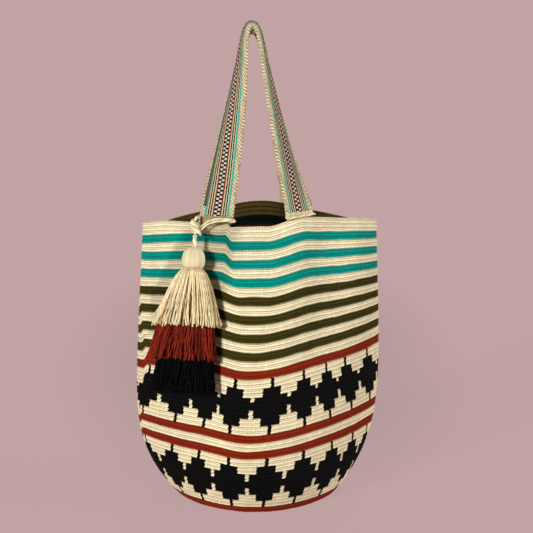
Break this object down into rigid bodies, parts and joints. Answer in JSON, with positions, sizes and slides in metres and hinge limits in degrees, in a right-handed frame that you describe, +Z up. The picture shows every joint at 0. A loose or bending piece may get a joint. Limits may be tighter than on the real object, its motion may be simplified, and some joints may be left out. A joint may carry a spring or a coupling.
{
  "type": "tote bag",
  "caption": "Crocheted round-based tote bag with striped and stepped-diamond bands, woven carrying straps and a hanging tiered tassel.",
  "frame": {"origin": "centre of the flat base's underside", "axes": "+Z up, from the base to the straps; -Y out of the front, the side with the tassel; +X to the right seen from the front"},
  "size_m": [0.2686, 0.269, 0.5221],
  "materials": {
    "crochet_yarn": "matte cotton yarn",
    "strap_weave": "matte woven cotton",
    "cream_yarn": "matte cotton yarn",
    "cream_cord": "matte twisted cotton",
    "cream_tassel": "matte cut yarn",
    "rust_tassel": "matte cut yarn",
    "black_tassel": "matte cut yarn"
  },
  "bodies": {
    "bag": {"bag_body": "crochet_yarn", "front_strap": "strap_weave", "back_strap": "strap_weave", "front_left_binding": "cream_yarn", "front_right_binding": "cream_yarn", "back_left_binding": "cream_yarn", "back_right_binding": "cream_yarn", "tassel_loop": "cream_cord", "tassel_knot": "cream_cord"},
    "tassel_cord": {"tassel_hanger": "cream_cord"},
    "tassel": {"tassel_head": "cream_tassel", "tassel_neck": "cream_tassel", "tassel_cream_skirt": "cream_tassel", "tassel_rust_skirt": "rust_tassel", "tassel_black_skirt": "black_tassel"}
  },
  "joints": [
    {"name": "tassel_swing", "type": "hinge", "parent": "bag", "child": "tassel_cord", "pos_m": [-0.066, -0.09313, 0.29998], "axis": [-0.4288, -0.8792, 0.2079], "range_deg": [-15, 15]},
    {"name": "tassel_lift", "type": "hinge", "parent": "tassel_cord", "child": "tassel", "pos_m": [-0.06681, -0.09586, 0.28679], "axis": [-0.9014, 0.4316, -0.0341], "range_deg": [0, 45]}
  ]
}
